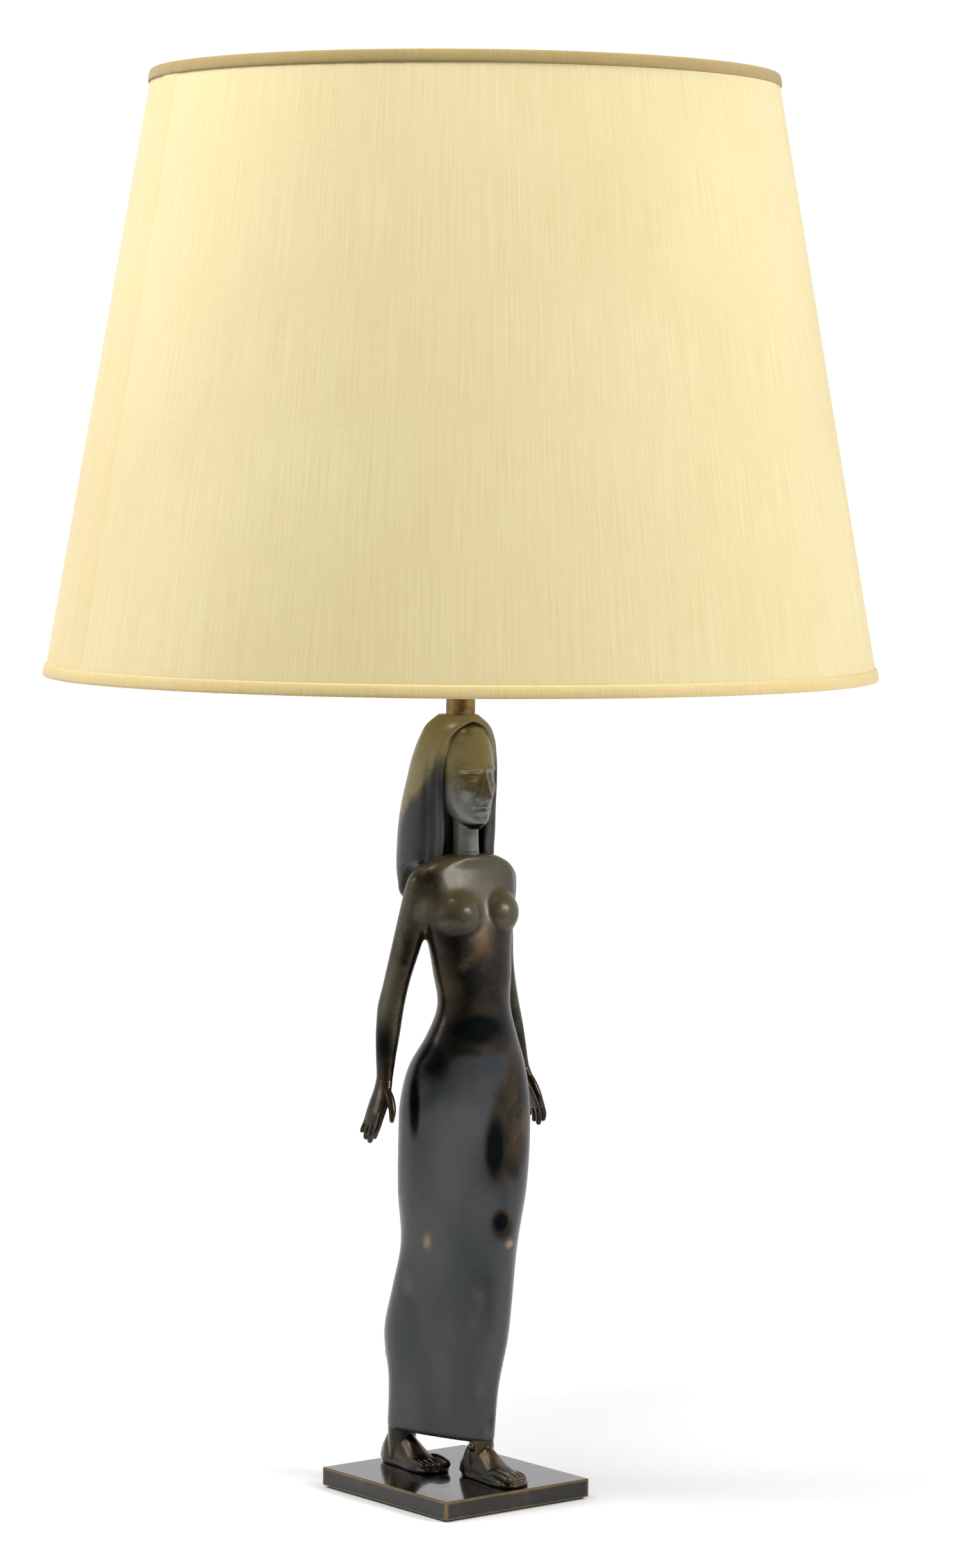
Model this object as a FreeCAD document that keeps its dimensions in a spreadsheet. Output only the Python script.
import FreeCAD, Part
import math
import os
import Sketcher
from FreeCAD import Placement, Rotation, Vector

# Figural table lamp: a cast bronze standing figure on a flat plate carries a
# lampholder, a wire harp and a tapered fabric shade.
#
# Frame: millimetres, +Z up, origin at the middle of the underside of the felt.
# The figure faces -Y and her left hand is on +X. The lamp axis is the Z axis.

SIZES = [
    # name, value, what it is
    ("felt_thickness", 1.0, "felt pad under the plate"),
    ("felt_inset", 2.0, "how far the felt stays inside the plate's edge"),
    ("base_width", 88.0, "plate, left to right"),
    ("base_depth", 98.0, "plate, front to back"),
    ("base_thickness", 9.0, "plate"),
    ("base_edge", 0.6, "rubbed edge of the plate"),
    ("screw_radius", 2.0, "foot screw, shank"),
    ("screw_head_radius", 3.6, "foot screw, head"),
    ("screw_head_height", 3.0, "foot screw, head"),
    ("screw_slot_width", 0.8, "foot screw, driver slot"),
    ("screw_slot_depth", 0.9, "foot screw, driver slot"),
    ("screw_reach", 9.0, "how far the foot screw enters the skirt casting"),
    ("sole_thickness", 2.0, "thin sole cast under each foot"),
    ("sole_length", 44.0, "sole, heel to toes"),
    ("sole_width", 18.5, "sole at the ball of the foot"),
    ("ankle_setback", 13.6, "heel end of the sole to the middle of the ankle"),
    ("ankle_inset", 0.3, "how far the ankle stays inside the skirt's hem"),
    ("ankle_taper", 0.2, "how much thinner the ankle is at the sole"),
    ("toe_overlap", 1.5, "how far each toe starts behind the toe root"),
    ("toe_sink", 0.4, "how far each toe is pressed into the sole"),
    ("hem_height", 29.0, "bottom of the skirt"),
    ("casting_wall", 3.0, "wall of the hollow skirt casting"),
    ("neck_radius", 6.5, "neck"),
    ("neck_y", -4.7, "middle of the neck, towards the front"),
    ("chest_top", 313.0, "where the neck leaves the chest"),
    ("tenon_radius", 4.5, "neck tenon in the chest"),
    ("tenon_length", 8.0, "neck tenon in the chest"),
    ("wire_way", 2.8, "radius of the wire way through neck and head"),
    ("nose_base", 2.6, "half-width of the nose at the wings"),
    ("nose_bridge", 1.0, "half-width of the nose at the bridge"),
    ("nose_length", 9.0, "nose, wings to bridge"),
    ("nose_lean", 0.12, "how far the nose leans back for each unit of height"),
    ("nose_y", -18.6, "middle of the nose, towards the front"),
    ("nose_z", 341.5, "foot of the nose"),
    ("skull_hollow", 10.0, "radius of the hollow inside the head"),
    ("skull_hollow_z", 352.0, "middle of the hollow inside the head"),
    ("bust_spacing", 28.0, "distance between the breasts"),
    ("bust_radius", 8.2, "each breast"),
    ("bust_depth_share", 0.86, "depth of a breast over its width"),
    ("bust_height_share", 0.92, "height of a breast over its width"),
    ("bust_y", -18.0, "middle of the breasts, towards the front"),
    ("bust_z", 284.0, "height of the breasts"),
    ("hair_front", -3.0, "front face of the wig beside the face"),
    ("hair_throat", 2.2, "front face of the wig behind the throat"),
    ("throat_top", 326.0, "where the wig comes forward beside the face"),
    ("hair_seat", 15.0, "radius of the flat on the crown that the collar stands on"),
    ("hair_opening", 12.4, "half-width of the face opening in the wig"),
    ("hairline_z", 366.0, "top of the face opening"),
    ("inlet_z", 66.0, "height of the cord inlet at the back of the skirt"),
    ("inlet_x", -9.0, "sideways place of the cord inlet"),
    ("inlet_bore", 3.5, "bore radius of the cord inlet bush"),
    ("inlet_barrel", 4.6, "outer radius of the bush where it passes the wall"),
    ("inlet_flange", 6.4, "radius of the bush's flange"),
    ("inlet_flange_thickness", 1.6, "the bush's flange"),
    ("inlet_seat_y", 35.2, "flat spot that the flange sits on"),
    ("inlet_depth", 6.0, "how far the bush reaches in from its seat"),
    ("nipple_radius", 4.9, "threaded tube, outside"),
    ("nipple_bore", 3.4, "threaded tube, inside"),
    ("nipple_bottom", 366.0, "lower end of the threaded tube, inside the crown"),
    ("nipple_top", 431.0, "upper end of the threaded tube, inside the lampholder"),
    ("collar_radius", 7.0, "brass neck collar"),
    ("collar_bottom", 380.0, "seat of the collar on the crown"),
    ("saddle_z", 417.0, "seat of the harp saddle on the collar"),
    ("saddle_thickness", 1.6, "harp saddle strip"),
    ("saddle_width", 16.0, "harp saddle strip"),
    ("harp_half_width", 28.0, "lamp axis to each leg of the harp at the saddle"),
    ("harp_belly", 58.0, "lamp axis to the harp wire at its widest"),
    ("harp_height", 254.0, "harp, saddle to hub seat"),
    ("harp_wire", 1.9, "radius of the harp wire"),
    ("harp_leg", 46.0, "straight part of each leg above the saddle"),
    ("harp_widening", 112.0, "saddle to where the wire is widest"),
    ("harp_shoulder", 62.0, "hub seat down to where the wire turns in"),
    ("harp_crown", 14.0, "half-width of the top of the harp"),
    ("harp_crown_drop", 2.5, "hub seat down to the wire below it"),
    ("harp_pad", 3.4, "thickness of the pad that the hub rests on"),
    ("ear_height", 10.0, "ears of the harp saddle"),
    ("socket_ear", 2.6, "outer radius of the saddle's ears"),
    ("sleeve_radius", 4.0, "harp sleeve, outside"),
    ("sleeve_bore", 2.8, "harp sleeve, inside"),
    ("sleeve_height", 14.0, "harp sleeve"),
    ("nut_across", 9.0, "lock nut, half the distance across its corners"),
    ("nut_height", 3.0, "lock nut"),
    ("holder_radius", 16.5, "lampholder shell, outside"),
    ("holder_wall", 0.9, "lampholder shell and cap, wall"),
    ("holder_bottom", 421.6, "underside of the lampholder cap"),
    ("holder_joint", 437.0, "joint between cap and shell"),
    ("holder_top", 480.0, "mouth of the lampholder shell"),
    ("liner_wall", 0.7, "insulating liner"),
    ("screw_shell_radius", 13.9, "lampholder screw shell, outside"),
    ("screw_shell_wall", 0.5, "lampholder screw shell"),
    ("screw_shell_floor", 451.0, "floor of the screw shell"),
    ("terminal_x", 5.0, "lamp axis to each terminal screw, sideways"),
    ("terminal_shank", 1.5, "radius of a terminal screw"),
    ("terminal_head", 2.4, "radius of a terminal screw's head"),
    ("terminal_y", -13.1, "outer face of the terminal screws"),
    ("switch_z", 443.0, "height of the switch shaft"),
    ("switch_shaft_radius", 1.8, "switch shaft"),
    ("switch_knob_radius", 5.5, "switch knob"),
    ("switch_knob_start", 22.0, "lamp axis to the inner face of the knob"),
    ("switch_knob_length", 12.0, "switch knob"),
    ("bulb_cap_radius", 13.0, "screw cap of the bulb"),
    ("bulb_cap_bottom", 453.0, "contact end of the bulb"),
    ("bulb_tip_radius", 4.2, "tip contact of the bulb"),
    ("bulb_cap_height", 26.0, "contact end to the rim of the cap"),
    ("bulb_radius", 30.0, "glass envelope"),
    ("bulb_height", 110.0, "bulb, contact end to crown"),
    ("bulb_slope", 35.0, "degrees below its middle where the globe meets the shoulder"),
    ("bulb_neck", 12.4, "radius of the glass inside the screw cap"),
    ("bulb_neck_inside", 6.0, "how far the glass enters the screw cap"),
    ("bulb_neck_straight", 8.0, "straight length of the glass above its lower end"),
    ("bulb_neck_pull", 14.0, "how slowly the neck opens towards the shoulder"),
    ("bulb_shoulder_pull", 16.0, "how slowly the globe closes towards the neck"),
    ("bulb_wall", 0.8, "glass envelope"),
    ("shade_bottom", 398.3, "lower edge of the shade"),
    ("shade_height", 287.7, "shade"),
    ("shade_bottom_radius", 200.0, "shade at its lower edge"),
    ("shade_top_radius", 149.4, "shade at its upper edge"),
    ("shade_wall", 0.8, "hard-backed silk"),
    ("ring_radius", 1.6, "wire of the shade rings"),
    ("trim_height", 6.0, "rolled silk trim"),
    ("trim_wall", 0.8, "rolled silk trim, how far it stands proud"),
    ("spider_drop", 15.0, "upper edge of the shade down to the hub seat"),
    ("spider_flat", 46.0, "lamp axis to the lower bend of a spider arm"),
    ("spider_rise", 78.0, "lamp axis to the upper bend of a spider arm"),
    ("spider_wire", 1.44, "radius of the spider arms"),
    ("hub_radius", 9.0, "spider hub"),
    ("hub_hole", 3.3, "radius of the hole in the spider hub"),
    ("hub_thickness", 3.0, "spider hub"),
    ("stud_radius", 3.0, "threaded stud on top of the harp"),
    ("stud_height", 13.0, "threaded stud above the hub seat"),
    ("finial_seat_height", 5.0, "threaded seat of the finial"),
    ("finial_seat_radius", 6.0, "threaded seat of the finial"),
    ("finial_bore", 8.0, "depth of the thread in the finial knob"),
]

# The skirt wraps two legs. At each height its outline is the smooth hull round
# a circle about the right leg and a circle about the left leg.
# station: height, right leg x, y, radius, left leg x, y, radius
BODY_STATIONS = {
    "ankle": (29.0, -7.5, 32.5, 7.4, 4.0, -15.5, 6.2),
    "shin": (54.0, -8.2, 27.5, 9.6, 5.0, -14.5, 8.0),
    "calf": (78.0, -9.2, 23.8, 13.3, 7.1, -13.8, 11.2),
    "under_knee": (100.0, -10.0, 15.0, 14.2, 8.6, -12.8, 12.8),
    "knee": (122.0, -10.8, 7.5, 14.2, 9.9, -11.3, 14.5),
    "thigh": (150.0, -12.2, 2.5, 17.6, 12.0, -9.7, 18.2),
    "hip": (176.0, -13.5, -1.0, 18.6, 13.5, -9.0, 19.0),
    "upper_hip": (196.0, -14.0, -4.3, 19.2, 13.3, -8.5, 19.0),
    "belly": (212.0, -13.2, -7.0, 17.4, 11.7, -9.5, 17.0),
    "under_waist": (226.0, -9.2, -9.8, 14.3, 8.5, -10.5, 15.0),
    "waist": (240.0, -6.0, -11.5, 12.7, 6.0, -11.5, 13.2),
    "rib": (256.0, -7.5, -10.5, 13.0, 7.5, -10.5, 13.0),
    "breastbone": (272.0, -9.8, -8.5, 13.0, 9.6, -9.0, 12.4),
    "armpit": (286.0, -14.0, -6.0, 12.0, 14.0, -6.0, 12.0),
    "shoulder": (298.0, -18.0, -3.8, 10.2, 18.0, -3.8, 10.2),
    "shoulder_top": (306.5, -20.5, -3.6, 7.0, 20.5, -3.6, 7.0),
    "nape": (311.0, -14.0, -4.1, 5.8, 14.0, -4.1, 5.8),
    "neckline": (313.0, -1.5, -4.7, 6.9, 1.5, -4.7, 6.9),
}

# The left arm, shoulder to wrist, as level round sections.
# station: height, x, y, half-width, half-depth
ARM_STATIONS = {
    "shoulder_tip": (310.0, 22.5, -3.0, 4.0, 4.4),
    "deltoid": (303.0, 24.0, -2.4, 7.4, 7.6),
    "under_deltoid": (293.0, 24.6, -0.4, 8.0, 8.3),
    "upper_arm": (282.0, 25.6, 2.7, 7.6, 8.2),
    "biceps": (268.0, 28.4, 5.2, 6.8, 7.6),
    "above_elbow": (252.0, 32.4, 7.0, 6.1, 6.8),
    "elbow": (240.0, 35.2, 7.6, 6.1, 6.8),
    "forearm": (228.0, 37.8, 6.6, 5.7, 6.4),
    "low_forearm": (216.0, 40.3, 4.9, 4.6, 5.3),
    "wrist": (206.0, 42.2, 3.4, 3.6, 4.7),
    "palm_root": (202.0, 43.4, 2.9, 3.4, 5.4),
    "palm": (195.0, 46.4, 2.2, 3.3, 6.6),
    "knuckles": (188.0, 49.4, 2.1, 2.9, 6.6),
    "fingers": (181.0, 51.6, 3.0, 2.3, 5.4),
    "fingertips": (175.5, 52.2, 3.8, 1.3, 3.4),
}

# The head without the hair. station: height, middle y, half-width, half-depth
HEAD_STATIONS = {
    "chin_tip": (325.5, -12.0, 2.6, 2.4),
    "chin": (328.5, -9.8, 6.4, 7.2),
    "jaw": (335.0, -6.2, 10.6, 12.2),
    "mouth_level": (341.0, -3.4, 12.8, 15.6),
    "cheek": (348.0, -1.0, 14.0, 18.2),
    "brow": (356.0, 0.2, 14.4, 19.2),
    "forehead": (363.0, 1.0, 13.6, 18.0),
    "vault": (370.0, 1.6, 10.4, 13.6),
    "crown": (375.0, 1.8, 4.0, 5.4),
}

# The wig, outside. station: height, middle y, half-width, half-depth
HAIR_STATIONS = {
    "tips": (286.0, 18.5, 13.0, 7.5),
    "ends": (290.0, 15.6, 20.0, 13.0),
    "shoulder_fall": (299.0, 12.4, 24.3, 18.0),
    "low_fall": (318.0, 10.6, 25.6, 20.4),
    "fall": (336.0, 8.8, 24.6, 20.2),
    "temple": (348.0, 6.4, 23.4, 19.4),
    "upper": (360.0, 4.2, 21.4, 18.8),
    "top": (369.0, 2.6, 18.6, 17.2),
    "vault": (375.5, 2.2, 15.0, 14.2),
    "parting": (380.0, 2.0, 9.4, 9.6),
}

# One foot along its length. station: distance from the heel, half-width, height
FOOT_STATIONS = {
    "heel_end": (1.4, 3.4, 6.0),
    "heel": (5.0, 6.0, 13.0),
    "under_ankle": (13.0, 6.6, 15.5),
    "instep": (21.0, 6.9, 12.2),
    "arch": (28.0, 7.6, 8.2),
    "ball": (34.0, 8.2, 5.6),
    "toe_root": (37.0, 8.2, 4.4),
}

# The sole, from the heel round the outer side to the toes and back:
# share of its half-width, share of its length
SOLE_OUTLINE = [(0.0, 0.0), (-0.68, 0.16), (-0.82, 0.45), (-1.0, 0.76), (-0.72, 0.96), (0.0, 1.0),
                (0.78, 0.92), (1.0, 0.74), (0.8, 0.45), (0.68, 0.16)]

# The back of a foot section: share of its half-width, share of its height
FOOT_BACK = [(-1.0, 0.0), (-0.98, 0.35), (-0.72, 0.78), (0.0, 1.0), (0.72, 0.78), (0.98, 0.35), (1.0, 0.0)]

# Toes from the inner one outwards: sideways place, length past the toe root, radius
TOES = [
    (-5.7, 6.0, 2.2),
    (-2.2, 5.6, 1.7),
    (0.9, 4.9, 1.6),
    (3.7, 4.0, 1.5),
    (6.2, 2.9, 1.4),
]

# The left thumb, root to tip. station: height, middle x, middle y, radius
THUMB_STATIONS = {
    "root": (201.0, 43.8, -1.2, 1.8),
    "joint": (195.5, 44.3, -5.2, 1.9),
    "pad": (190.5, 45.2, -7.0, 1.6),
    "tip": (186.5, 45.8, -7.4, 0.9),
}

# Turned profile of the finial knob, from its seat: radius, height
FINIAL_PROFILE = [(4.4, 0.0), (6.8, 1.8), (8.0, 4.4), (6.8, 7.6), (3.4, 11.0), (1.6, 13.0), (0.0, 13.0)]

HULL_BLEND = 2.5
OUTLINE_POINTS = 20
HARP_BEND = 40.0
SPIDER_BEND = 30.0
SPIDER_ARMS = 3
CLEARANCE = 0.05

os.makedirs("parts", exist_ok=True)
doc = FreeCAD.newDocument("figural_table_lamp")
sheet = doc.addObject("Spreadsheet::Sheet", "sizes")
nodes = []


def fill_sheet():
    """Writes every driving dimension into the sheet, one aliased row each."""
    rows = [(name, number, note) for name, number, note in SIZES]
    tables = (
        ("body", BODY_STATIONS, ("height", "right_x", "right_y", "right_radius",
                                 "left_x", "left_y", "left_radius")),
        ("arm", ARM_STATIONS, ("height", "middle_x", "middle_y", "half_width", "half_depth")),
        ("thumb", THUMB_STATIONS, ("height", "middle_x", "middle_y", "radius")),
        ("head", HEAD_STATIONS, ("height", "middle_y", "half_width", "half_depth")),
        ("hair", HAIR_STATIONS, ("height", "middle_y", "half_width", "half_depth")),
        ("foot", FOOT_STATIONS, ("from_heel", "half_width", "height")),
    )
    for part, stations, measures in tables:
        for station, numbers in stations.items():
            for measure, number in zip(measures, numbers):
                rows.append((f"{part}_{station}_{measure}", number, f"{part} section at the {station}"))
    for line, (name, number, note) in enumerate(rows, start=1):
        sheet.set(f"A{line}", name)
        sheet.set(f"B{line}", str(number))
        sheet.set(f"C{line}", note)
        sheet.setAlias(f"B{line}", name)
    doc.recompute()


def size(name):
    """One driving dimension, read from the sheet."""
    return float(sheet.get(name))


def worked_out(expression):
    """The number that an expression over the sheet stands for."""
    return float(sheet.evalExpression(expression))


def bind(item, **expressions):
    """Binds properties of an object to expressions; two underscores stand for a dot."""
    for name, expression in expressions.items():
        item.setExpression(name.replace("__", "."), expression)
    return item


def place(item, x="0", y="0", z="0"):
    """Binds the place of an object, in expressions over the sheet."""
    return bind(item, Placement__Base__x=x, Placement__Base__y=y, Placement__Base__z=z)


def node(item):
    """Marks an object as a finished sub-part; its Label names its file."""
    item.Label = item.Name
    nodes.append(item)
    return item


def feature(name, shape):
    """An object whose shape is worked out with Part's own functions."""
    item = doc.addObject("Part::Feature", name)
    item.Shape = shape
    return item


def cylinder(name, radius, height, x="0", y="0", z="0"):
    """An upright cylinder whose sizes and place are expressions."""
    item = bind(doc.addObject("Part::Cylinder", name), Radius=radius, Height=height)
    return place(item, x, y, z)


def level_cylinder(name, radius, length, x="0", y="0", z="0"):
    """A cylinder that lies along +Y from its place."""
    item = doc.addObject("Part::Cylinder", name)
    item.Placement = Placement(Vector(), Rotation(Vector(1, 0, 0), -90))
    bind(item, Radius=radius, Height=length)
    return place(item, x, y, z)


def box(name, length, width, height, x, y, z):
    """A box whose sizes and corner are expressions."""
    item = bind(doc.addObject("Part::Box", name), Length=length, Width=width, Height=height)
    return place(item, x, y, z)


def cut(name, base, *tools):
    """The base with every tool taken away."""
    tool = tools[0] if len(tools) == 1 else fuse(name + "_tools", *tools)
    item = doc.addObject("Part::Cut", name)
    item.Base = base
    item.Tool = tool
    return item


def fuse(name, *members):
    """Several objects as one solid."""
    item = doc.addObject("Part::MultiFuse", name)
    item.Shapes = list(members)
    return item


def group(name, *members):
    """Identical pieces kept as separate solids in one node."""
    item = doc.addObject("Part::Compound", name)
    item.Links = list(members)
    return item


def turned(name, outline):
    """A body turned about the lamp axis from a closed outline of (radius, height)
    expressions; every corner of the sketch is bound to the sheet."""
    body = doc.addObject("PartDesign::Body", name)
    sketch = body.newObject("Sketcher::SketchObject", name + "_outline")
    plane = next(item for item in body.Origin.OriginFeatures if item.Role == "XZ_Plane")
    sketch.AttachmentSupport = (plane, [""])
    sketch.MapMode = "FlatFace"
    corners = [Vector(worked_out(radius), worked_out(height), 0) for radius, height in outline]
    count = len(corners)
    for i, corner in enumerate(corners):
        sketch.addGeometry(Part.LineSegment(corner, corners[(i + 1) % count]), False)
    for i in range(count):
        sketch.addConstraint(Sketcher.Constraint("Coincident", i, 2, (i + 1) % count, 1))
    for i, (radius, height) in enumerate(outline):
        measures = (("DistanceX", radius, corners[i].x), ("DistanceY", height, corners[i].y))
        for kind, expression, number in measures:
            index = sketch.addConstraint(Sketcher.Constraint(kind, -1, 1, i, 1, number))
            sketch.setExpression(f"Constraints[{index}]", expression)
    spin = body.newObject("PartDesign::Revolution", name + "_turning")
    spin.Profile = sketch
    spin.ReferenceAxis = (sketch, ["V_Axis"])
    spin.Angle = 360
    return body


def ring_outline(inner, outer, bottom, top):
    """The rectangular outline of a plain ring or tube."""
    return [(inner, bottom), (outer, bottom), (outer, top), (inner, top)]


def closed_curve(points):
    """A smooth closed wire through the points."""
    curve = Part.BSplineCurve()
    curve.interpolate(points, PeriodicFlag=True)
    return Part.Wire([curve.toShape()])


def oval(middle, half_width, half_depth):
    """A level oval wire about its middle, starting at the front."""
    points = []
    for i in range(OUTLINE_POINTS):
        angle = 2 * math.pi * i / OUTLINE_POINTS
        points.append(middle + Vector(half_width * math.sin(angle), -half_depth * math.cos(angle), 0))
    return closed_curve(points)


def hull_outline(height, circles, inset=0.0):
    """A smooth convex wire round two circles. Its distance from the axis in the
    direction n is the soft maximum of the two circles' own distances."""
    steps = 720
    loop = []
    for i in range(steps):
        angle = 2 * math.pi * i / steps - math.pi / 2
        normal = Vector(math.cos(angle), math.sin(angle), 0)
        along = Vector(-math.sin(angle), math.cos(angle), 0)
        reach = [normal.x * x + normal.y * y + radius for x, y, radius in circles]
        slope = [along.x * x + along.y * y for x, y, radius in circles]
        most = max(reach)
        weight = [math.exp((value - most) / HULL_BLEND) for value in reach]
        total = sum(weight)
        support = most + HULL_BLEND * math.log(total) - inset
        turn = sum(part * value for part, value in zip(weight, slope)) / total
        loop.append(normal * support + along * turn)
    return closed_curve([point + Vector(0, 0, height) for point in evenly_spaced(loop)])


def evenly_spaced(loop):
    """Points at even distances along a closed polyline, from its first point."""
    lengths = [0.0]
    for start, end in zip(loop, loop[1:] + loop[:1]):
        lengths.append(lengths[-1] + (end - start).Length)
    points = []
    index = 0
    for i in range(OUTLINE_POINTS):
        target = lengths[-1] * i / OUTLINE_POINTS
        while lengths[index + 1] < target:
            index += 1
        share = (target - lengths[index]) / (lengths[index + 1] - lengths[index])
        start = loop[index]
        points.append(start + (loop[(index + 1) % len(loop)] - start) * share)
    return points


def lofted(wires):
    """A solid skinned over the wires."""
    return Part.makeLoft(wires, True, False)


def body_sections(inset=0.0):
    """The level outlines of skirt and torso, from the hem to the neckline."""
    sections = []
    for station in BODY_STATIONS:
        circles = []
        for side in ("right", "left"):
            name = f"body_{station}_{side}"
            circles.append((size(name + "_x"), size(name + "_y"), size(name + "_radius")))
        sections.append((size(f"body_{station}_height"), circles))
    return [hull_outline(height, circles, inset) for height, circles in sections]


def make_base():
    """Bronze plate with rubbed edges and two counterbored screw holes, felt, screws."""
    plate = box("plate_block", "sizes.base_width", "sizes.base_depth", "sizes.base_thickness",
                "-sizes.base_width / 2", "-sizes.base_depth / 2", "sizes.felt_thickness")
    doc.recompute()
    rounded = doc.addObject("Part::Fillet", "plate_rounded")
    rounded.Base = plate
    edge = size("base_edge")
    rounded.Edges = [(i + 1, edge, edge) for i in range(len(plate.Shape.Edges))]
    holes = []
    screws = []
    for side, (x, y) in foot_screw_places().items():
        holes.append(cylinder(f"hole_{side}", f"sizes.screw_radius + {CLEARANCE}", "sizes.base_thickness",
                              x, y, "sizes.felt_thickness"))
        holes.append(cylinder(f"counterbore_{side}", f"sizes.screw_head_radius + {CLEARANCE}",
                              "sizes.screw_head_height", x, y, "sizes.felt_thickness"))
        head = cylinder(f"screw_head_{side}", "sizes.screw_head_radius", "sizes.screw_head_height",
                        x, y, "sizes.felt_thickness")
        shank = cylinder(f"screw_shank_{side}", "sizes.screw_radius",
                         "sizes.hem_height + sizes.screw_reach - sizes.felt_thickness", x, y,
                         "sizes.felt_thickness")
        slot = box(f"screw_slot_{side}", "2 * sizes.screw_head_radius", "sizes.screw_slot_width",
                   "sizes.screw_slot_depth", f"{x} - sizes.screw_head_radius",
                   f"{y} - sizes.screw_slot_width / 2", "sizes.felt_thickness")
        screws.append(cut(f"foot_screw_{side}", fuse(f"screw_blank_{side}", head, shank), slot))
    node(cut("base_plate", rounded, *holes))
    node(box("base_felt", "sizes.base_width - 2 * sizes.felt_inset",
             "sizes.base_depth - 2 * sizes.felt_inset", "sizes.felt_thickness",
             "sizes.felt_inset - sizes.base_width / 2", "sizes.felt_inset - sizes.base_depth / 2", "0"))
    node(group("foot_screws", *screws))


def foot_screw_places():
    """Where the two foot screws stand: under the middle of each ankle."""
    return {side: (f"sizes.body_ankle_{side}_x", f"sizes.body_ankle_{side}_y")
            for side in ("right", "left")}


def foot_section(from_heel, half_width, height):
    """A rounded cross-section of the foot, flat below: a half oval on a straight
    line, in the plane square to the foot."""
    points = [Vector(x * half_width, from_heel, z * height) for x, z in FOOT_BACK]
    back = Part.BSplineCurve()
    back.interpolate(points)
    return Part.Wire([Part.LineSegment(points[-1], points[0]).toShape(), back.toShape()])


def make_foot(side):
    """Sole, foot, ankle and five toes. Built with the heel at the origin and the
    toes towards +Y, then turned to face -Y and set under its ankle."""
    sole = size("sole_thickness")
    half = size("sole_width") / 2
    length = size("sole_length")
    outline = [Vector(across * half, along * length, 0) for across, along in SOLE_OUTLINE]
    solid = Part.Face(closed_curve(outline)).extrude(Vector(0, 0, sole))
    sections = []
    for station in FOOT_STATIONS:
        name = f"foot_{station}"
        sections.append(foot_section(size(name + "_from_heel"), size(name + "_half_width"),
                                     size(name + "_height")))
    upper = lofted(sections)
    upper.translate(Vector(0, 0, sole))
    ankle_y = size("ankle_setback")
    top = size("hem_height") - size("felt_thickness") - size("base_thickness")
    ankle_radius = size(f"body_ankle_{side}_radius") - size("ankle_inset")
    ankle = Part.makeCone(ankle_radius - size("ankle_taper"), ankle_radius, top - sole,
                          Vector(0, ankle_y, sole))
    solid = solid.fuse([upper, ankle] + toe_solids(sole))
    solid = solid.cut(Part.makeCylinder(size("screw_radius") + CLEARANCE, top, Vector(0, ankle_y, 0)))
    solid = solid.removeSplitter()
    if side == "left":
        solid = solid.mirror(Vector(), Vector(1, 0, 0))
    turn = Placement(Vector(), Rotation(Vector(0, 0, 1), 180))
    x = size(f"body_ankle_{side}_x")
    y = size(f"body_ankle_{side}_y") + ankle_y
    item = feature(f"foot_{side}", solid)
    stand = Vector(x, y, size("felt_thickness") + size("base_thickness"))
    item.Placement = Placement(stand, Rotation()) * turn
    node(item)


def toe_solids(floor):
    """Five round-ended toes in front of the toe root, pressed a little into the sole."""
    solids = []
    root = size("foot_toe_root_from_heel") - size("toe_overlap")
    for x, length, radius in TOES:
        start = Vector(x, root, floor + radius - size("toe_sink"))
        solids.append(Part.makeCylinder(radius, length, start, Vector(0, 1, 0)))
        solids.append(Part.makeSphere(radius, start + Vector(0, length, 0)))
    return solids


def make_torso():
    """Casting of skirt and torso: outer loft with the breasts, cored from the shin
    to the shoulders, with the foot screw holes, the neck socket and the inlet hole."""
    sections = body_sections()
    outer = lofted(sections)
    core = lofted(body_sections(size("casting_wall"))[1:-3])
    breasts = []
    for side in (-1, 1):
        breast = Part.makeSphere(size("bust_radius"))
        flatten = FreeCAD.Matrix()
        flatten.scale(1.0, size("bust_depth_share"), size("bust_height_share"))
        breast = breast.transformGeometry(flatten)
        breast.translate(Vector(side * size("bust_spacing") / 2, size("bust_y"), size("bust_z")))
        breasts.append(breast)
    neck_deep = size("chest_top") - 2 * size("tenon_length")
    inlet_seat = Vector(size("inlet_x"), size("inlet_seat_y"), size("inlet_z"))
    back = Vector(0, 1, 0)
    holes = [Part.makeCylinder(size("tenon_radius"), 40, Vector(0, size("neck_y"), neck_deep)),
             Part.makeCylinder(size("inlet_barrel"), 20, inlet_seat - back * size("inlet_depth"), back),
             Part.makeCylinder(size("inlet_flange"), 20, inlet_seat, back)]
    for side in ("right", "left"):
        low = Vector(size(f"body_ankle_{side}_x"), size(f"body_ankle_{side}_y"), size("hem_height"))
        holes.append(Part.makeCylinder(size("screw_radius"), size("screw_reach"), low))
    node(feature("torso_skirt", outer.fuse(breasts).cut(core).cut(holes)))
    return outer


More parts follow.
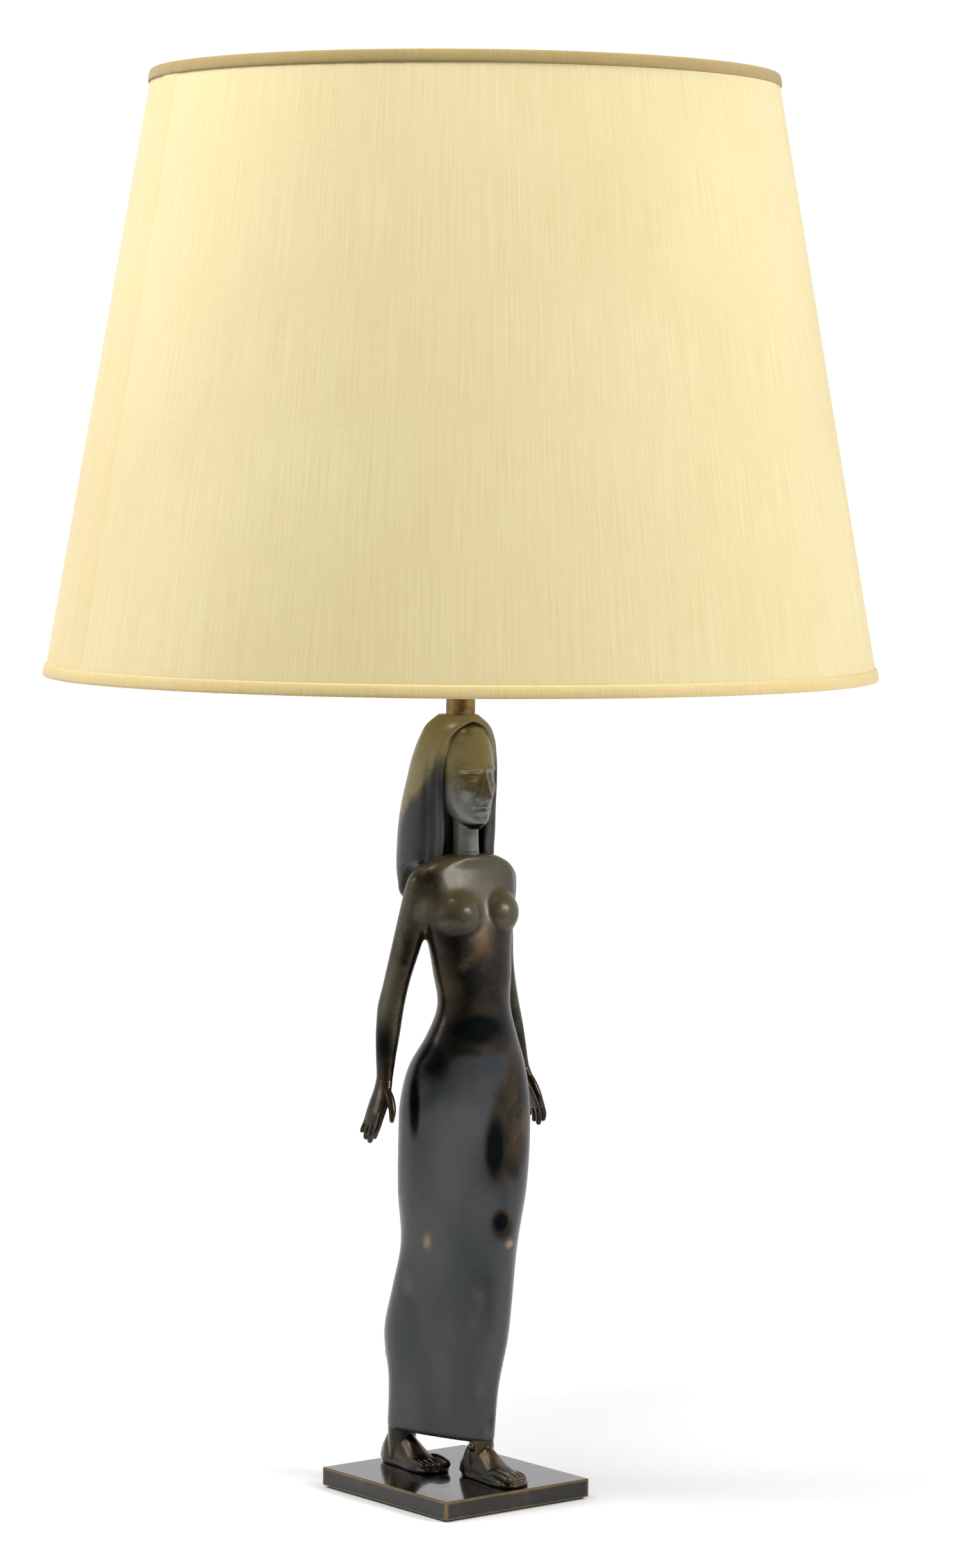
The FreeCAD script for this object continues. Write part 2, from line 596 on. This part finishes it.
def make_arm(side, torso):
    """One arm and hand: a loft over level ovals, a thumb, cut where it meets the torso."""
    sections = []
    for station in ARM_STATIONS:
        name = f"arm_{station}"
        middle = Vector(size(name + "_middle_x"), size(name + "_middle_y"), size(name + "_height"))
        sections.append(oval(middle, size(name + "_half_width"), size(name + "_half_depth")))
    solid = lofted(sections)
    sections = []
    for station in THUMB_STATIONS:
        name = f"thumb_{station}"
        middle = Vector(size(name + "_middle_x"), size(name + "_middle_y"), size(name + "_height"))
        sections.append(oval(middle, size(name + "_radius"), size(name + "_radius")))
    solid = solid.fuse(lofted(sections))
    if side == "right":
        solid = solid.mirror(Vector(), Vector(1, 0, 0))
    solid = solid.cut(torso)
    solid = max(solid.Solids, key=lambda piece: piece.Volume)
    node(feature(f"arm_{side}", solid))
    return solid


def make_head():
    """Head and neck in one casting, with a tenon, a wire way and a hollow skull."""
    sections = []
    for station in HEAD_STATIONS:
        name = f"head_{station}"
        middle = Vector(0, size(name + "_middle_y"), size(name + "_height"))
        sections.append(oval(middle, size(name + "_half_width"), size(name + "_half_depth")))
    skull = lofted(sections)
    neck_y = size("neck_y")
    chest = size("chest_top")
    neck = Part.makeCylinder(size("neck_radius"), 30, Vector(0, neck_y, chest))
    tenon = Part.makeCylinder(size("tenon_radius"), size("tenon_length"),
                              Vector(0, neck_y, chest - size("tenon_length")))
    nose = Part.makeCone(size("nose_base"), size("nose_bridge"), size("nose_length"),
                         Vector(0, size("nose_y"), size("nose_z")), Vector(0, size("nose_lean"), 1))
    solid = skull.fuse([neck, tenon, nose])
    hollow_z = size("skull_hollow_z")
    way = Part.makeCylinder(size("wire_way"), hollow_z - chest + 20, Vector(0, neck_y, chest - 20))
    hollow = Part.makeSphere(size("skull_hollow"), Vector(0, 0, hollow_z))
    solid = solid.cut([way, hollow])
    outer = skull.fuse([neck, nose])
    solid = solid.cut(Part.makeCylinder(size("nipple_radius"), 40, Vector(0, 0, size("nipple_bottom"))))
    upper_way = Part.makeCylinder(size("nipple_bore"), 20, Vector(0, 0, hollow_z))
    node(feature("head", solid.cut(upper_way).removeSplitter()))
    return outer


def make_hair(head, body, arms):
    """The wig: an outer loft with the face opening cut in front, less the head,
    the torso and the arms that it rests on, and bored for the threaded tube."""
    sections = []
    for station in HAIR_STATIONS:
        name = f"hair_{station}"
        middle = Vector(0, size(name + "_middle_y"), size(name + "_height"))
        sections.append(oval(middle, size(name + "_half_width"), size(name + "_half_depth")))
    solid = lofted(sections)
    half = size("hair_opening")
    arch = size("hairline_z") - half
    foot = size("hair_tips_height") - 6
    low = Vector(-half, 0, foot)
    left = Vector(-half, 0, arch)
    top = Vector(0, 0, arch + half)
    right = Vector(half, 0, arch)
    low_right = Vector(half, 0, foot)
    window = Part.Wire([Part.LineSegment(low, left).toShape(), Part.Arc(left, top, right).toShape(),
                        Part.LineSegment(right, low_right).toShape(),
                        Part.LineSegment(low_right, low).toShape()])
    window = Part.Face(window)
    front = -2 * size("hair_low_fall_half_depth")
    window.translate(Vector(0, front, 0))
    opening = window.extrude(Vector(0, size("hair_front") - front, 0))
    throat = Part.makeBox(2 * half, size("hair_throat") - front, size("throat_top") - foot,
                          Vector(-half, front, foot))
    solid = solid.cut([opening, throat])
    solid = solid.cut(head)
    solid = solid.cut([body] + arms)
    solid = max(solid.Solids, key=lambda piece: piece.Volume)
    seat = size("collar_bottom")
    solid = solid.cut(Part.makeCylinder(size("nipple_radius"), 60, Vector(0, 0, size("nipple_bottom") - 10)))
    solid = solid.cut(Part.makeCylinder(size("hair_seat"), 20, Vector(0, 0, seat)))
    node(feature("hair", solid))


def make_inlet():
    """Brass bush in the back of the skirt that the cord would pass through."""
    inner_end = "sizes.inlet_seat_y - sizes.inlet_depth"
    whole = "sizes.inlet_depth + sizes.inlet_flange_thickness"
    barrel = level_cylinder("inlet_barrel_solid", "sizes.inlet_barrel", whole, "sizes.inlet_x",
                            inner_end, "sizes.inlet_z")
    flange = level_cylinder("inlet_flange_solid", "sizes.inlet_flange", "sizes.inlet_flange_thickness",
                            "sizes.inlet_x", "sizes.inlet_seat_y", "sizes.inlet_z")
    bore = level_cylinder("inlet_bore_solid", "sizes.inlet_bore", whole, "sizes.inlet_x",
                          inner_end, "sizes.inlet_z")
    node(cut("cord_inlet_bush", fuse("inlet_blank", barrel, flange), bore))


def make_stem():
    """Threaded tube, brass collar and lock nut on the lamp axis."""
    node(turned("lamp_nipple", ring_outline("sizes.nipple_bore", "sizes.nipple_radius",
                                            "sizes.nipple_bottom", "sizes.nipple_top")))
    node(turned("neck_collar", ring_outline("sizes.nipple_radius", "sizes.collar_radius",
                                            "sizes.collar_bottom", "sizes.saddle_z")))
    nut = doc.addObject("Part::Prism", "nut_blank")
    nut.Polygon = 6
    bind(nut, Circumradius="sizes.nut_across", Height="sizes.nut_height")
    place(nut, z="sizes.saddle_z + sizes.saddle_thickness")
    hole = cylinder("nut_hole", "sizes.nipple_radius", "sizes.nut_height",
                    z="sizes.saddle_z + sizes.saddle_thickness")
    node(cut("lock_nut", nut, hole))


def make_harp():
    """Saddle with two ears, the bent harp wire with its stud, and the two sleeves
    that lock the legs on the ears."""
    half = size("harp_half_width")
    seat = size("saddle_z")
    strip = box("saddle_strip", "2 * sizes.harp_half_width + 2 * sizes.socket_ear", "sizes.saddle_width",
                "sizes.saddle_thickness", "-sizes.harp_half_width - sizes.socket_ear",
                "-sizes.saddle_width / 2", "sizes.saddle_z")
    sides = (("right", "-sizes.harp_half_width"), ("left", "sizes.harp_half_width"))
    ears = [cylinder(f"saddle_ear_{name}", "sizes.socket_ear", "sizes.ear_height", x, "0", "sizes.saddle_z")
            for name, x in sides]
    bores = [cylinder(f"ear_bore_{name}", "sizes.harp_wire", "sizes.ear_height", x, "0",
                      "sizes.saddle_z + sizes.saddle_thickness") for name, x in sides]
    hole = cylinder("saddle_hole", "sizes.nipple_radius", "sizes.saddle_thickness", z="sizes.saddle_z")
    node(cut("harp_saddle", fuse("saddle_blank", strip, *ears), hole, *bores))

    top = seat + size("harp_height")
    belly = size("harp_belly")
    wire = size("harp_wire")
    foot = seat + size("saddle_thickness")
    route = [Vector(-half, 0, foot), Vector(-half, 0, foot + size("harp_leg")),
             Vector(-belly, 0, foot + size("harp_widening")), Vector(-belly, 0, top - size("harp_shoulder")),
             Vector(-size("harp_crown"), 0, top - size("harp_crown_drop"))]
    route += [Vector(-point.x, 0, point.z) for point in reversed(route)]
    path = rounded_path(route, HARP_BEND)
    start = Part.Wire([Part.makeCircle(wire, route[0], Vector(0, 0, 1))])
    tube = path.makePipeShell([start], True, False)
    thick = size("harp_pad")
    pad = Part.makeCylinder(size("hub_radius") - wire / 2, thick, Vector(0, 0, top - thick))
    stud = Part.makeCylinder(size("stud_radius"), size("stud_height"), Vector(0, 0, top))
    node(feature("harp", tube.fuse([pad, stud]).removeSplitter()))
    low = "sizes.saddle_z + sizes.saddle_thickness"
    for name, x in sides:
        outside = cylinder(f"sleeve_outside_{name}", "sizes.sleeve_radius", "sizes.sleeve_height",
                           x, "0", low)
        inside = cylinder(f"sleeve_inside_{name}", "sizes.sleeve_bore", "sizes.sleeve_height", x, "0", low)
        node(cut(f"harp_sleeve_{name}", outside, inside))


def rounded_path(corners, radius):
    """Straight runs through the corners, joined by tangent arcs. A short run takes
    a smaller arc."""
    edges = []
    start = corners[0]
    for before, corner, after in zip(corners, corners[1:], corners[2:]):
        into = (corner - before).normalize()
        out = (after - corner).normalize()
        half_turn = into.getAngle(out) / 2
        shorter = min((corner - before).Length, (after - corner).Length)
        reach = min(radius * math.tan(half_turn), 0.45 * shorter)
        bend = reach / math.tan(half_turn)
        first = corner - into * reach
        last = corner + out * reach
        inward = (out - into).normalize()
        middle = corner + inward * (bend / math.cos(half_turn) - bend)
        edges.append(Part.LineSegment(start, first).toShape())
        edges.append(Part.Arc(first, middle, last).toShape())
        start = last
    edges.append(Part.LineSegment(start, corners[-1]).toShape())
    return Part.Wire(edges)


def make_lampholder():
    """Brass cap and shell, insulating liner, moulded body, screw shell, centre
    contact, terminal screws and the turn switch."""
    wall = "sizes.holder_wall"
    outer = "sizes.holder_radius"
    bottom = "sizes.holder_bottom"
    joint = "sizes.holder_joint"
    node(turned("lampholder_cap", [
        ("sizes.nipple_radius", bottom), ("sizes.nipple_radius + 2.4", bottom),
        (outer + " - 4", bottom + " + 3"), (outer, bottom + " + 9"), (outer, joint),
        (outer + " - " + wall, joint), (outer + " - " + wall, bottom + " + 9.4"),
        (outer + " - 4.6", bottom + " + 4"),
        ("sizes.nipple_radius + 2.4", bottom + " + 2.2"), ("sizes.nipple_radius + 2.4", bottom + " + 5"),
        ("sizes.nipple_radius", bottom + " + 5")]))
    shell = turned("shell_blank", [
        (outer + " - " + wall, joint), (outer, joint), (outer, "sizes.holder_top - 1"),
        (outer + " + 0.8", "sizes.holder_top - 1"), (outer + " + 0.8", "sizes.holder_top"),
        (outer + " - " + wall, "sizes.holder_top")])
    window = level_cylinder("shell_window", "sizes.switch_shaft_radius + 1.2", "12", "0", "10",
                            "sizes.switch_z")
    node(cut("lampholder_shell", shell, window))
    liner_outer = outer + " - " + wall
    liner_inner = liner_outer + " - sizes.liner_wall"
    liner = turned("liner_blank", ring_outline(liner_inner, liner_outer, joint, "sizes.holder_top - 2"))
    liner_window = level_cylinder("liner_window", "sizes.switch_shaft_radius + 1.2", "12", "0", "10",
                                  "sizes.switch_z")
    node(cut("lampholder_liner", liner, liner_window))
    moulding = turned("moulding_blank", [
        ("0", "sizes.nipple_top"), ("11", "sizes.nipple_top"), ("13.6", "sizes.nipple_top + 4"),
        ("13.6", "sizes.screw_shell_floor - 3"), (liner_inner, "sizes.screw_shell_floor - 3"),
        (liner_inner, "sizes.screw_shell_floor"), ("0", "sizes.screw_shell_floor")])
    shaft_way = level_cylinder("shaft_way", f"sizes.switch_shaft_radius + {CLEARANCE}", "16", "0", "4",
                               "sizes.switch_z")
    tip_way = cylinder("tip_way", "3.2", "4", z="sizes.screw_shell_floor - 3")
    sides = (("right", "-sizes.terminal_x"), ("left", "sizes.terminal_x"))
    front = "sizes.terminal_y"
    ways = [level_cylinder(f"terminal_way_{name}", "sizes.terminal_shank", "5", x, front, "sizes.switch_z")
            for name, x in sides]
    pockets = [box(f"terminal_pocket_{name}", "6.4", "1.6", "6.4", f"{x} - 3.2", front + " - 0.6",
                   "sizes.switch_z - 3.2") for name, x in sides]
    node(cut("lampholder_moulding", moulding, shaft_way, tip_way, *ways, *pockets))
    screws = []
    for name, x in sides:
        shank = level_cylinder(f"terminal_shank_{name}", "sizes.terminal_shank", "3.6", x,
                               front + " + 1", "sizes.switch_z")
        head = level_cylinder(f"terminal_head_{name}", "sizes.terminal_head", "1", x, front, "sizes.switch_z")
        screws.append(fuse(f"terminal_screw_{name}", shank, head))
    node(group("terminal_screws", *screws))
    shell_radius = "sizes.screw_shell_radius"
    inner_radius = shell_radius + " - sizes.screw_shell_wall"
    floor = "sizes.screw_shell_floor"
    node(turned("screw_shell", [
        ("4.5", floor), (shell_radius, floor), (shell_radius, "sizes.holder_top - 3"),
        (inner_radius, "sizes.holder_top - 3"), (inner_radius, floor + " + 0.6"), ("4.5", floor + " + 0.6")]))
    node(turned("centre_contact", [("0", floor + " - 3"), ("3.2", floor + " - 3"), ("3.2", floor + " - 2.2"),
                                   ("1.6", floor + " + 1.9"), ("0", floor + " + 1.9")]))
    shaft = level_cylinder("switch_shaft", "sizes.switch_shaft_radius", "sizes.switch_knob_start",
                           "0", "6", "sizes.switch_z")
    node(shaft)
    knob = level_cylinder("knob_blank", "sizes.switch_knob_radius", "sizes.switch_knob_length",
                          "0", "sizes.switch_knob_start", "sizes.switch_z")
    socket = level_cylinder("knob_socket", "sizes.switch_shaft_radius", "6", "0",
                            "sizes.switch_knob_start", "sizes.switch_z")
    node(cut("switch_knob", knob, socket))


def make_bulb():
    """Tip contact, screw cap and hollow glass envelope."""
    radius = "sizes.bulb_cap_radius"
    low = "sizes.bulb_cap_bottom"
    high = low + " + sizes.bulb_cap_height"
    tip = "sizes.bulb_tip_radius"
    node(turned("bulb_tip", [("0", low), (tip + " - 0.8", low), (tip, low + " + 0.8"),
                             (tip, low + " + 3"), ("0", low + " + 3")]))
    node(turned("bulb_cap", [
        ("0", low + f" + 3 + {CLEARANCE}"), (tip + f" + {CLEARANCE}", low + f" + 3 + {CLEARANCE}"),
        (tip + f" + {CLEARANCE}", low + " + 1.2"), ("6.5", low + " + 1.6"), (radius + " - 1.6", low + " + 5"),
        (radius, low + " + 7"), (radius, high), (radius + " - 0.6", high), (radius + " - 0.6", low + " + 8"),
        ("0", low + " + 8")]))
    cap_low = size("bulb_cap_bottom")
    cap_high = cap_low + size("bulb_cap_height")
    globe = size("bulb_radius")
    middle = cap_low + size("bulb_height") - globe
    neck = size("bulb_neck")
    wall = size("bulb_wall")
    foot = cap_high - size("bulb_neck_inside")
    outer = envelope(neck, foot, globe, middle)
    inner = envelope(neck - wall, foot - 2, globe - wall, middle)
    node(feature("bulb_glass", outer.cut(inner)))


def envelope(neck, low, globe, middle):
    """A closed bulb shape: a globe, drawn in below to the neck by a smooth curve."""
    angle = math.radians(size("bulb_slope"))
    joint = Vector(globe * math.cos(angle), 0, middle - globe * math.sin(angle))
    tip = Vector(0, 0, middle + globe)
    side = Vector(globe, 0, middle)
    foot = Vector(neck, 0, low)
    rise = Vector(neck, 0, low + size("bulb_neck_straight"))
    shoulder = Part.BezierCurve()
    lean = Vector(math.sin(angle), 0, math.cos(angle))
    shoulder.setPoles([rise, rise + Vector(0, 0, size("bulb_neck_pull")),
                       joint - lean * size("bulb_shoulder_pull"), joint])
    edges = [Part.LineSegment(Vector(0, 0, low), foot).toShape(), Part.LineSegment(foot, rise).toShape(),
             shoulder.toShape(), Part.Arc(joint, side, tip).toShape(),
             Part.LineSegment(tip, Vector(0, 0, low)).toShape()]
    face = Part.Face(Part.Wire(edges))
    return face.revolve(Vector(), Vector(0, 0, 1), 360)


def shade_radius(height):
    """Expression for the outer radius of the shade panel at a height above its edge."""
    return (f"sizes.shade_bottom_radius + (sizes.shade_top_radius - sizes.shade_bottom_radius)"
            f" * ({height}) / sizes.shade_height")


def ring_centre(height):
    """Expression for the middle radius of a wire ring that touches the panel inside
    at a height above its lower edge; the panel's slope sets the reach."""
    slope = "(sizes.shade_bottom_radius - sizes.shade_top_radius) / sizes.shade_height"
    return shade_radius(height) + f" - sizes.shade_wall - sizes.ring_radius * sqrt(1 + pow({slope}; 2))"


def make_shade():
    """Panel, wire rings, rolled trims and the three-armed spider with its hub."""
    low = "sizes.shade_bottom"
    tall = "sizes.shade_height"
    high = low + " + " + tall
    wall = "sizes.shade_wall"
    bottom_radius = shade_radius("0")
    top_radius = shade_radius(tall)
    node(turned("shade_panel", [
        (bottom_radius + " - " + wall, low), (bottom_radius, low), (top_radius, high),
        (top_radius + " - " + wall, high)]))
    for name, foot, head in (("shade_bottom_trim", "0", "sizes.trim_height"),
                             ("shade_top_trim", tall + " - sizes.trim_height", tall)):
        proud = " + sizes.trim_wall"
        node(turned(name, [
            (shade_radius(foot), low + " + " + foot), (shade_radius(foot) + proud, low + " + " + foot),
            (shade_radius(head) + proud, low + " + " + head), (shade_radius(head), low + " + " + head)]))
    for name, height in (("shade_bottom_ring", "sizes.ring_radius"),
                         ("shade_top_ring", tall + " - sizes.ring_radius")):
        ring = bind(doc.addObject("Part::Torus", name), Radius2="sizes.ring_radius",
                    Radius1=ring_centre(height))
        node(place(ring, z=low + " + " + height))
    make_spider()


def make_spider():
    """Three bent arms from the top ring down to a flat hub with a hole for the stud."""
    top = size("shade_bottom") + size("shade_height")
    seat = top - size("spider_drop")
    wire = size("spider_wire")
    hub_outer = size("hub_radius")
    ring = size("ring_radius")
    thick = size("hub_thickness")
    ring_middle = worked_out(ring_centre("sizes.shade_height - sizes.ring_radius"))
    hub = Part.makeCylinder(hub_outer, thick, Vector(0, 0, seat))
    arms = []
    for i in range(SPIDER_ARMS):
        route = [Vector(hub_outer - thick, 0, seat + thick / 2),
                 Vector(size("spider_flat"), 0, seat + thick / 2),
                 Vector(size("spider_rise"), 0, top - ring), Vector(ring_middle - ring, 0, top - ring)]
        start = Part.Wire([Part.makeCircle(wire, route[0], Vector(1, 0, 0))])
        arm = rounded_path(route, SPIDER_BEND).makePipeShell([start], True, False)
        arm.rotate(Vector(), Vector(0, 0, 1), 90 + 360 * i / SPIDER_ARMS)
        arms.append(arm)
    torus = Part.makeTorus(ring_middle, ring, Vector(0, 0, top - ring))
    hole = Part.makeCylinder(size("hub_hole"), thick, Vector(0, 0, seat))
    node(feature("shade_spider", hub.fuse(arms).cut([hole, torus]).removeSplitter()))


def make_finial():
    """Threaded seat and knob of the finial, screwed on the harp's stud."""
    seat = "sizes.saddle_z + sizes.harp_height + sizes.hub_thickness"
    bore = f"sizes.stud_radius + {CLEARANCE}"
    wide = "sizes.finial_seat_radius"
    high = seat + " + sizes.finial_seat_height"
    neck = wide + " - 1.6"
    node(turned("finial_seat", [(bore, seat), (wide, seat), (wide, seat + " + 1.5"), (neck, seat + " + 2.6"),
                                (neck, high), (bore, high)]))
    outside = [(str(radius), f"{high} + {rise}") for radius, rise in FINIAL_PROFILE]
    node(turned("finial_knob", [(bore, high)] + outside + [
        ("0", high + " + sizes.finial_bore"), (bore, high + " + sizes.finial_bore")]))


def check_and_export():
    """Stops if any object failed, then writes one STEP file per sub-part."""
    doc.recompute()
    for item in doc.Objects:
        if "Invalid" in item.State or "Error" in item.State:
            raise RuntimeError(f"{item.Name} failed: {item.State}")
    for item in nodes:
        shape = item.Shape
        if shape.isNull() or not shape.isValid() or not shape.Solids:
            raise RuntimeError(f"{item.Label} has no valid solid")
        shape.exportStep(f"parts/{item.Label}.step")
        print(f"{item.Label:22s} solids {len(shape.Solids)}  volume {shape.Volume / 1000:9.3f} cm3")
    print(len(nodes), "nodes")


fill_sheet()
make_base()
torso_outer = make_torso()
for side in ("right", "left"):
    make_foot(side)
arms = [make_arm(side, torso_outer) for side in ("right", "left")]
head_outer = make_head()
make_hair(head_outer, torso_outer, arms)
make_inlet()
make_stem()
make_harp()
make_lampholder()
make_bulb()
make_shade()
make_finial()
check_and_export()
